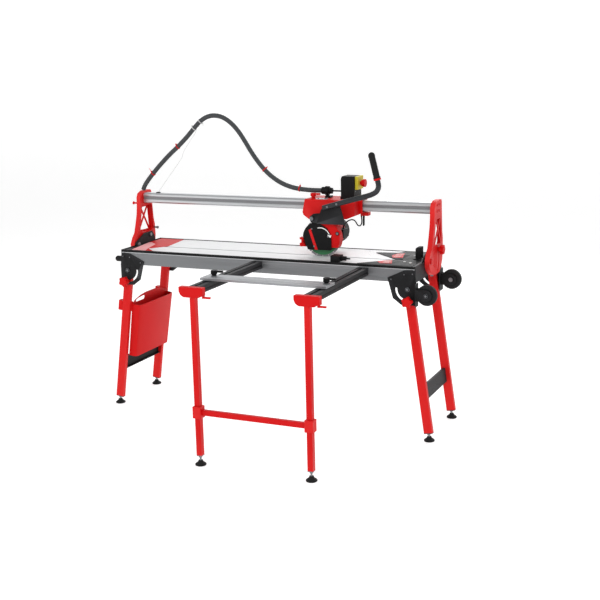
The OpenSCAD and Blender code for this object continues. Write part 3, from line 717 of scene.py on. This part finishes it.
CARRIED = (
    # CAD node, finish, body, slot, edge rounding in mm; the piece is named NODE_trim
    ("side_rails", "side_alu", "table", "rail_aluminium", 0.5),
    ("end_plates", "black_coat", "table", "black_steel", 0.8),
    ("top_boards", "board_alu", "table", "board_aluminium", 0.0),
    ("edge_strips", "black_abs", "table", "edge_vinyl", 1.2),
    ("water_tray", "black_abs", "table", "black_plastic", 0.6),
    ("leg_brackets", "black_coat", "table", "black_steel", 0.9),
    ("pivot_pins", "zinc", "table", "steel", 0.7),
    ("carry_handles", "rubber", "table", "rubber", 1.0),
    ("mitre_gauge", "black_coat", "table", "black_steel", 0.5),
    ("wheel_front", "tyre", "wheel_front", "rubber", 1.0),
    ("wheel_rear", "tyre", "wheel_rear", "rubber", 1.0),
    ("legs_left", "red_coat", "left_legs", "red_paint", 2.2),
    ("brace_left", "black_coat", "left_legs", "black_steel", 0.8),
    ("leg_studs_left", "zinc", "left_legs", "steel", 0.5),
    ("feet_left", "rubber", "feet_left", "rubber", 0.8),
    ("legs_right", "red_coat", "right_legs", "red_paint", 2.2),
    ("brace_right", "black_coat", "right_legs", "black_steel", 0.8),
    ("leg_studs_right", "zinc", "right_legs", "steel", 0.5),
    ("feet_right", "rubber", "feet_right", "rubber", 0.8),
    ("leg_knob_front_left", "red_abs", "knob_front_left", "red_plastic", 1.2),
    ("leg_knob_rear_left", "red_abs", "knob_rear_left", "red_plastic", 1.2),
    ("leg_knob_front_right", "red_abs", "knob_front_right", "red_plastic", 1.2),
    ("leg_knob_rear_right", "red_abs", "knob_rear_right", "red_plastic", 1.2),
    ("bucket", "red_abs", "bucket", "red_plastic", 1.2),
    ("ext_rails", "black_coat", "extension", "black_steel", 0.8),
    ("ext_caps", "red_abs", "extension", "red_plastic", 2.5),
    ("stand_frame", "red_coat", "extension", "red_paint", 1.6),
    ("stand_studs", "zinc", "extension", "steel", 0.5),
    ("stand_feet", "rubber", "stand_feet", "rubber", 0.8),
    ("cap_lever_left", "red_abs", "cap_lever_left", "red_plastic", 1.2),
    ("cap_lever_right", "red_abs", "cap_lever_right", "red_plastic", 1.2),
    ("ruler_bar", "ruler_alu", "ruler", "ruler_aluminium", 0.8),
    ("ruler_knob_left", "black_abs", "ruler_knob_left", "black_plastic", 1.2),
    ("ruler_knob_right", "black_abs", "ruler_knob_right", "black_plastic", 1.2),
    ("slide_stop", "black_abs", "slide_stop", "black_plastic", 1.2),
    ("uprights", "red_coat", "bridge", "red_paint", 0.0),
    ("rail", "rail_alu", "bridge", "rail_bright", 0.8),
    ("rail_bolts", "zinc", "bridge", "steel", 0.6),
    ("index_pin", "zinc", "index_pin", "steel", 0.6),
    ("tilt_knob_left", "red_abs", "tilt_knob_left", "red_plastic", 1.6),
    ("tilt_knob_right", "red_abs", "tilt_knob_right", "red_plastic", 1.6),
    ("carriage_box", "red_coat", "carriage", "red_paint", 3.0),
    ("carriage_lock", "red_abs", "carriage_lock", "red_plastic", 1.6),
    ("switch_box", "black_abs", "carriage", "black_plastic", 2.0),
    ("estop_plate", "yellow_abs", "carriage", "yellow_plastic", 1.6),
    ("estop_button", "red_abs", "estop", "red_plastic", 2.0),
    ("plunge_pivot", "zinc", "carriage", "steel", 0.8),
    ("head_plate", "black_coat", "head", "black_steel", 0.8),
    ("guard_body", "red_abs", "head", "red_plastic", 2.0),
    ("guard_cover", "black_abs", "head", "black_plastic", 1.0),
    ("head_screws", "zinc", "head", "steel", 0.8),
    ("motor_body", "red_coat", "head", "red_paint", 2.0),
    ("motor_fan_cover", "black_abs", "head", "black_plastic", 2.0),
    ("spindle", "zinc", "blade", "steel", 0.8),
)


class TILESAW_OT_carried(bpy.types.Operator):
    """Adds the pieces that keep their CAD shape, with edges rounded and a finish each"""

    bl_idname = "tile_saw.carried"
    bl_label = "Carried Pieces"

    def execute(self, context):
        for node, material, body, slot, edge in CARRIED:
            from_cad(node, node + "_trim", material, body, slot, bevel=edge)
        return {"FINISHED"}


def sector(cx, cy, inner, outer, a0, a1, n=24):
    """Outline of a curved strip between two radii and two angles in degrees."""
    return circle(cx, cy, outer, n, a0, a1) + circle(cx, cy, inner, n, a1, a0)


class TILESAW_OT_table_trim(bpy.types.Operator):
    """Adds the red corner panel, the angle scales, the bracket screws and the pivot caps"""

    bl_idname = "tile_saw.table_trim"
    bl_label = "Table Trim"

    def execute(self, context):
        settings = context.scene.tile_saw_table
        high = TABLE_TOP + settings.panel
        panel = [(-733, -171), (-576, -171), (-640, -112), (-578, -30), (-602, 168), (-733, 168)]
        Solid().prism(panel, "z", TABLE_TOP - 0.6, high).done(
            "corner_panel", "red_abs", "table", slot="red_plastic", bevel=0.2
        )
        band = [(-700, -170.5), (-622, -170.5), (-641, -112), (-672, 8), (-716, 46), (-731, 40), (-726, 0)]
        Solid().prism(band, "z", high - 0.1, high + 0.3).done(
            "corner_panel_band", "pink_print", "table", slot="red_plastic", bevel=0
        )
        # A black wedge along the panel's left end, drawn in the black plastic finish.
        wedge = [(-732.5, -170.5), (-701, -170.5), (-727, 0), (-732, 40), (-732.5, 40)]
        Solid().prism(wedge, "z", high - 0.1, high + 0.3).done(
            "corner_panel_wedge", "black_abs", "table", slot="black_plastic", bevel=0
        )
        scales, ticks = Solid(), Solid()
        for outline in ([(582, -4), (562, 42), (570, 88), (604, 106), (612, 60), (628, 4)],
                              [(572, -146), (548, -110), (574, -80), (600, -62), (612, -96), (625, -138)]):
            scales.prism(outline, "z", GAUGE_TOP - 1, GAUGE_TOP + 0.1)
            low = min(y for _, y in outline)
            span = max(y for _, y in outline) - low
            for i in range(1, settings.ticks // 2):
                y = low + span * i / (settings.ticks // 2)
                x = 598 - 14 * (y - low) / span
                long = 14 if i % 4 else 20
                ticks.prism(
                    [(x - long, y - 0.8), (x + long, y + 5.2), (x + long, y + 6.8), (x - long, y + 0.8)], "z",
                    GAUGE_TOP, GAUGE_TOP + 0.4
                )
        scales.done("gauge_scales", "red_print", "table", slot="red_paint", bevel=0)
        ticks.done("gauge_ticks", "white_print", "table", slot="board_aluminium", bevel=0, weld=False)
        lip = Solid()
        lip.prism([(-184.4, 773.5), (-183.9, 773.5), (-183.9, 775.6), (-184.4, 775.6)], "x", -746, 746)
        lip.done("side_rail_lip", "rail_alu", "table", slot="rail_bright", bevel=0)
        places = [
            ((s * x, f * 188, z), (0, f, 0)) for s in (-1, 1) for f in (-1, 1)
            for x, z in ((640, 728), (700, 752), (738, 756))
        ]
        screws("bracket_screws", places, 5.2, 3.6, "table", "black_coat", slot="black_steel")
        places = [((x, y, GAUGE_TOP + 0.2), (0, 0, 1)) for x, y in ((652, 140), (670, -95), (702, -112))]
        screws(
            "gauge_screws", places, 6.2, 2.0, "table", "white_print", slot="board_aluminium",
            socket_share=0.35
        )
        caps = Solid()
        for s in (-1, 1):
            caps.lathe(
                [(0, 0), (13.6, 0), (13.6, 4.5), (10.5, 7.2), (0, 7.6)], (s * 773.5, *TILT_PIVOT), (s, 0, 0),
                32
            )
        caps.done("tilt_pivot_caps", "red_abs", "table", slot="red_plastic", bevel=0.4)
        covers = [((WHEEL[0], f * 204, WHEEL[2]), (0, f, 0)) for f in (-1, 1)]
        covers += [((s * LEG_PIVOT[0], f * 187.8, LEG_PIVOT[1]), (0, f, 0)) for s in (-1, 1) for f in (-1, 1)]
        screws(
            "axle_covers", covers, 10.8, 5.6, "table", "black_coat", sides=32, socket_share=0.6,
            slot="black_steel"
        )
        ends = [((x, y + (5.4 if y > 0 else -5.4), z), n) for (x, y, z), n in covers]
        screws("axle_ends", ends, 5.0, 1.8, "table", "zinc", slot="steel")
        return {"FINISHED"}


# The conduit's route, the same points as the CAD part's hose_path.
HOSE = (
    (-760, 62, 1050), (-750, 62, 1070), (-730, 62, 1096), (-697, 61, 1132), (-652, 61, 1177),
    (-601, 60, 1223), (-548, 59, 1266), (-496, 58, 1312), (-452, 57, 1356), (-415, 56, 1390),
    (-376, 55, 1411), (-334, 55, 1417), (-291, 55, 1408), (-250, 55, 1383), (-212, 55, 1345),
    (-179, 56, 1298), (-148, 57, 1249), (-116, 58, 1205), (-80, 59, 1164), (-40, 60, 1130),
    (5, 60, 1104), (52, 60, 1087), (100, 60, 1078), (156, 60, 1074), (214, 60, 1074),
)


class TILESAW_OT_hose(bpy.types.Operator):
    """Adds the ribbed conduit, its cable ties and the white support wire"""

    bl_idname = "tile_saw.hose"
    bl_label = "Conduit And Ties"

    def execute(self, context):
        settings = context.scene.tile_saw_hose
        line = [at(*p) for p in smooth_path(HOSE, 12)]
        mesh = bpy.data.meshes.new("conduit_line")
        mesh.from_pydata(line, [(i, i + 1) for i in range(len(line) - 1)], [])
        made = run_tree(mesh, conduit_tree(), {
            "Radius": settings.radius, "Rib Height": settings.rib, "Pitch": settings.pitch, "Sides": 20,
            "Material": FINISH["hose"]})
        conduit = settle("conduit", made, None, None, ("hose",), "hose_rubber", bevel=0, angle=80)
        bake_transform(conduit)
        red, white = Solid(), Solid()
        for index, part, up in (
            (3, red, 1), (6, red, 1), (18, red, 1), (22, red, 1), (8, white, 1), (9, white, -1)
        ):
            centre = Vector(HOSE[index])
            along = (Vector(HOSE[index + 1]) - Vector(HOSE[index - 1])).normalized()
            out = Vector((-along.z, 0, along.x)) * up
            width = 2.4 if part is red else 1.8
            part.lathe([(11.9, -width), (13.2, -width), (13.2, width), (11.9, width)], centre, along, 28)
            part.box((-3.2, -3, -2.6), (3.2, 3, 2.6))
            head = part.bm.verts[:][-8:]
            bmesh.ops.translate(part.bm, verts=head, vec=centre + out * 15)
            tail = 20 if index == 3 else 6
            part.tube(
                [
                    centre + out * 15, centre + out * (15 + tail * 0.6) + Vector((1, 0, 1)),
                    centre + out * (15 + tail) + Vector((2, 0, 0))
                ],
                1.4, 8
            )
        ties = red.done("conduit_ties", "red_abs", None, ("hose_ties",), "red_plastic", bevel=0.2, weld=False)
        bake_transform(ties)
        route = smooth_path(
            [
                (-679, 70, 1036), (-664, 70, 1056), (-604, 68, 1126), (-534, 64, 1208), (-520, 62, 1240),
                (-488, 60, 1282), (-444, 57, 1336), (-440, 56, 1350)
            ],
            9
        )
        white.tube(route, 1.1, 8)
        for x, z in ((-424, 1362), (-402, 1382)):
            white.tube(
                [(x + 9 * math.cos(a / 4), 52, z - 6 + 9 * math.sin(a / 4)) for a in range(-8, 9)], 0.9, 6
            )
        wire = white.done("support_wire", "wire_grey", None, (), "board_aluminium", bevel=0, weld=False)
        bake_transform(wire)
        foot = Solid().box((-688, 62, 1034.9), (-670, 78, 1038.5))
        foot.done("support_wire_foot", "black_abs", "bridge", slot="black_plastic", bevel=0.6)
        return {"FINISHED"}


class TILESAW_OT_bridge_trim(bpy.types.Operator):
    """Adds grey strips of painted shade in the rail's grooves and the raised ribs on the uprights"""

    bl_idname = "tile_saw.bridge_trim"
    bl_label = "Bridge Trim"

    def execute(self, context):
        # Thin grey strips along the rail's faces: painted shade in its grooves.
        groove = Solid()
        for y in (48.4, 90.8):
            groove.prism([(y, 1002.6), (y + 0.8, 1002.6), (y + 0.8, 1017.4), (y, 1017.4)], "x", -751, 751)
        groove.done("rail_groove_painted_shade", "groove_painted_shade", "bridge", slot="rail_aluminium", bevel=0)
        ribs = Solid()
        for x in (-774.2, 772.8):
            for radius in (48, 62, 76, 90):
                ribs.prism(sector(*TILT_PIVOT, radius, radius + 4, -36, 34, 20), "x", x, x + 1.4)
        ribs.done("upright_ribs", "red_coat", "bridge", slot="red_paint", bevel=0.4)
        bolts = [
            ((s * 773, y, z), (s, 0, 0)) for s in (-1, 1)
            for y, z in ((56, 997), (84, 997), (56, 1026), (84, 1026))
        ]
        screws("rail_bolt_heads", bolts, 6.2, 3.6, "bridge", "red_coat", slot="red_paint")
        return {"FINISHED"}


class TILESAW_OT_grip(bpy.types.Operator):
    """Adds the ribbed rubber grip with its red ring"""

    bl_idname = "tile_saw.grip"
    bl_label = "Grip"

    def execute(self, context):
        base, axis = (542.5, -87, 1146), (-0.2419, 0, 0.9703)
        profile = [
            (0, 20), (12.2, 20), (12.2, 8.6), (15.6, 8.6), (16.6, 10), (16.6, 13), (14.6, 16), (14.2, 24)
        ]
        for k in range(12):
            h = 28 + k * 6
            profile += [(14.2, h), (15.0, h + 1.2), (15.0, h + 3.6), (14.2, h + 4.8)]
        profile += [(14.4, 102), (15.2, 106), (15.2, 112)] + [
            (15.2 * math.cos(math.radians(a)), 112 + 14.5 * math.sin(math.radians(a)))
            for a in range(12, 90, 13)
        ] + [(0, 126.5)]
        Solid().lathe(profile, base, axis, 40).done(
            "grip_rubber", "rubber", "head", ("grip",), "rubber", bevel=0, angle=60
        )
        bend = smooth_path([
            (280, -87, 1014), (330, -87, 1029), (420, -87, 1055), (490, -87, 1074), (516, -87, 1083),
            (535, -87, 1094), (545, -87, 1109), (547, -87, 1124), (544, -87, 1140), (540, -87, 1156)], 6)
        Solid().tube(bend, 12, 28).done(
            "handle_tube_bend", "tube_black", "head", ("handle_tube",), "black_steel", bevel=0, angle=50
        )
        ring = [(12.2, 0), (15.6, 0), (17, 1.2), (17, 7.2), (15.6, 8.4), (12.2, 8.4)]
        Solid().lathe(ring, base, axis, 40).done("grip_ring", "red_abs", "head", slot="red_plastic", bevel=0)
        return {"FINISHED"}


class TILESAW_OT_head_trim(bpy.types.Operator):
    """Adds the blade's core and rim, the cover's stripe and arrow, the motor's fins and its cable"""

    bl_idname = "tile_saw.head_trim"
    bl_label = "Head Trim"

    def execute(self, context):
        x, y, z = BLADE
        core = [(12.7, -1), (80.6, -1), (80.6, 1), (12.7, 1)]
        Solid().lathe(core, BLADE, (0, 1, 0), 96).done(
            "blade_core", "blade_green", "blade", ("blade",), "blade_core", bevel=0
        )
        tooth = Solid().prism(sector(0, 0, 80, 89.9, -8.9, 8.9, 8), "y", -1.2, 1.2)
        repeated(
            tooth, "blade_rim", "segment", "blade", 18, turn=(0, math.radians(20), 0), centre=BLADE,
            slot="steel", bevel=0
        )
        stripe = Solid().prism([(196, 906), (207, 913), (240, 817), (226, 817)], "y", COVER_FACE, COVER_BACK)
        stripe.done("cover_stripe", "red_print", "head", slot="red_plastic", bevel=0)
        arrow = Solid().prism(sector(x, z, 47, 51, 25, 105), "y", COVER_FACE, COVER_BACK)
        arrow.prism([(x + 34, z + 18), (x + 56, z + 16), (x + 49, z + 4)], "y", COVER_FACE, COVER_BACK)
        arrow.done("cover_arrow", "white_print", "head", slot="board_aluminium", bevel=0)
        # The boss's recess is a black disc of painted shade.
        boss = Solid().lathe(
            [(0, 0), (9, 0), (9, 1.4), (6, 1.4), (6, 0.6), (0, 0.6)], (337, -62, 895), (0, -1, 0), 32
        )
        boss.done("boss_recess", "recess_painted_shade", "head", slot="black_plastic", bevel=0)
        fin = Solid().lathe([(57.6, -1.3), (58.9, -0.8), (58.9, 0.8), (57.6, 1.3)], (0, 0, 0), (0, 1, 0), 72)
        repeated(
            fin, "motor_fins", "red_coat", "head", 10, step=(0, 9, 0), centre=(MOTOR[0], 10, MOTOR[1]),
            slot="red_paint", bevel=0, angle=40
        )
        # The fan cover's vent grooves are black rings of painted shade.
        vent = Solid().lathe([(50.2, 0), (51.8, 0), (51.8, 0.6), (50.2, 0.6)], (0, 0, 0), (0, 1, 0), 72)
        repeated(
            vent, "fan_cover_rings", "recess_painted_shade", "head", 1, centre=(MOTOR[0], 151.8, MOTOR[1]),
            slot="black_plastic", bevel=0
        )
        route = smooth_path([
            (399, 84, 966.6), (399, 84, 956), (400, 86, 936), (397, 88, 920), (389, 88, 911), (379, 87, 914),
            (372, 85, 926), (365, 82, 936), (355, 76, 940), (343, 70, 937), (331, 63, 928),
            (322, 57, 915), (320, 55, 904), (320, 55, 900)], 4)
        radii = [3.0 + 1.6 * max(0, 1 - i / 5, 1 - (len(route) - 1 - i) / 5) for i in range(len(route))]
        cable = Solid().tube(route, 3, 14, radii).done(
            "motor_cable_sheath", "cable", None, ("motor_cable",), "cable_rubber", bevel=0
        )
        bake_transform(cable)
        strap = Solid().prism([(405, 962.4), (415, 962.4), (414, 916), (410, 911), (405, 913)], "y", 84, 87)
        strap.done("cable_strap", "black_abs", "carriage", slot="black_plastic", bevel=0.6)
        plate = Solid().prism(rounded(206, -12, 262, 30, 12), "z", 1041.6, 1043.2)
        plate.done("carriage_plate", "pale_plate", "carriage", slot="rail_bright", bevel=0.3)
        screws(
            "carriage_plate_screws", [((216, 8, 1043), (0, 0, 1)), ((250, 8, 1043), (0, 0, 1))], 4, 2,
            "carriage", "black_coat", slot="black_steel"
        )
        screws(
            "switch_box_screws",
            [((390.8, y, z), (1, 0, 0)) for y, z in ((32, 1052), (96, 1052), (32, 1078), (96, 1078))], 3.4,
            1.6, "carriage", slot="steel"
        )
        return {"FINISHED"}


class TILESAW_OT_stage(bpy.types.Operator):
    """Adds the pale floor and soft lights"""

    bl_idname = "tile_saw.stage"
    bl_label = "Stage"

    def execute(self, context):
        settings = context.scene.tile_saw_stage
        side, front, back_edge = 30, -12, 45
        mesh = bpy.data.meshes.new("Floor")
        mesh.from_pydata(
            [(-side, front, 0), (side, front, 0), (side, back_edge, 0), (-side, back_edge, 0)], [],
            [(0, 1, 2, 3)]
        )
        floor = bpy.data.objects.new("Floor", mesh)
        context.scene.collection.objects.link(floor)
        pale = bpy.data.materials.new("Matt studio floor, pale")
        pale.use_nodes = True
        shader = pale.node_tree.nodes["Principled BSDF"]
        shader.inputs["Base Color"].default_value = (*settings.floor, 1)
        shader.inputs["Roughness"].default_value = 0.7
        mesh.materials.append(pale)
        wall_mesh = bpy.data.meshes.new("Wall")
        half, far, foot, top = 60, 44, -2, 40
        wall_mesh.from_pydata(
            [(-half, far, foot), (half, far, foot), (half, far, top), (-half, far, top)], [], [(0, 1, 2, 3)]
        )
        wall = bpy.data.objects.new("Wall", wall_mesh)
        context.scene.collection.objects.link(wall)
        glow = bpy.data.materials.new("Lit studio wall, white")
        glow.use_nodes = True
        glowing = glow.node_tree.nodes["Principled BSDF"]
        glowing.inputs["Emission Color"].default_value = (1, 1, 1, 1)
        glowing.inputs["Emission Strength"].default_value = 1.0
        wall_mesh.materials.append(glow)
        shader.inputs["Emission Color"].default_value = (1, 1, 1, 1)
        shader.inputs["Emission Strength"].default_value = 0.3
        for name, size, power, place, target in (
            ("Key", 3.4, settings.key, (1800, -3200, 3600), (0, 0, 700)),
            ("Fill", 3.0, settings.key * 0.45, (-3200, -2600, 2200), (0, 0, 700)),
            ("Rim", 2.6, settings.key * 0.5, (400, 3000, 2800), (0, 0, 900)),
        ):
            light = bpy.data.objects.new(name, bpy.data.lights.new(name, "AREA"))
            light.data.size = size
            light.data.energy = power
            light.location = at(*place)
            light.rotation_euler = (at(*target) - at(*place)).to_track_quat("-Z", "Y").to_euler()
            context.scene.collection.objects.link(light)
        sky = bpy.data.worlds.new("Studio")
        context.scene.world = sky
        sky.use_nodes = True
        back = sky.node_tree.nodes["Background"]
        back.inputs[0].default_value = (1, 1, 1, 1)
        back.inputs[1].default_value = settings.sky
        context.scene.view_settings.view_transform = "Standard"
        return {"FINISHED"}


class TILESAW_PT_panel(bpy.types.Panel):
    """Lists the pieces of the saw and their sizes"""

    bl_label = "Tile Saw"
    bl_idname = "TILESAW_PT_panel"
    bl_space_type = "VIEW_3D"
    bl_region_type = "UI"
    bl_category = "Tile Saw"

    def draw(self, context):
        for group in GROUPS:
            box = self.layout.box()
            settings = getattr(context.scene, group)
            for name in settings.__annotations__:
                box.prop(settings, name)
        for operator in OPERATORS:
            self.layout.operator(operator.bl_idname)


GROUPS = {"tile_saw_table": TileSawTable, "tile_saw_hose": TileSawHose, "tile_saw_stage": TileSawStage}
OPERATORS = (
    TILESAW_OT_camera,
    TILESAW_OT_carried,
    TILESAW_OT_table_trim,
    TILESAW_OT_hose,
    TILESAW_OT_bridge_trim,
    TILESAW_OT_grip,
    TILESAW_OT_head_trim,
    TILESAW_OT_stage,
)


def register():
    for cls in (*GROUPS.values(), *OPERATORS, TILESAW_PT_panel):
        bpy.utils.register_class(cls)
    for name, cls in GROUPS.items():
        setattr(bpy.types.Scene, name, bpy.props.PointerProperty(type=cls))


def unregister():
    for name in GROUPS:
        delattr(bpy.types.Scene, name)
    for cls in reversed((*GROUPS.values(), *OPERATORS, TILESAW_PT_panel)):
        bpy.utils.unregister_class(cls)


def main():
    """Builds the whole saw, piece by piece."""
    register()
    for operator in OPERATORS:
        group, name = operator.bl_idname.split(".")
        getattr(getattr(bpy.ops, group), name)()


if __name__ == "__main__":
    main()
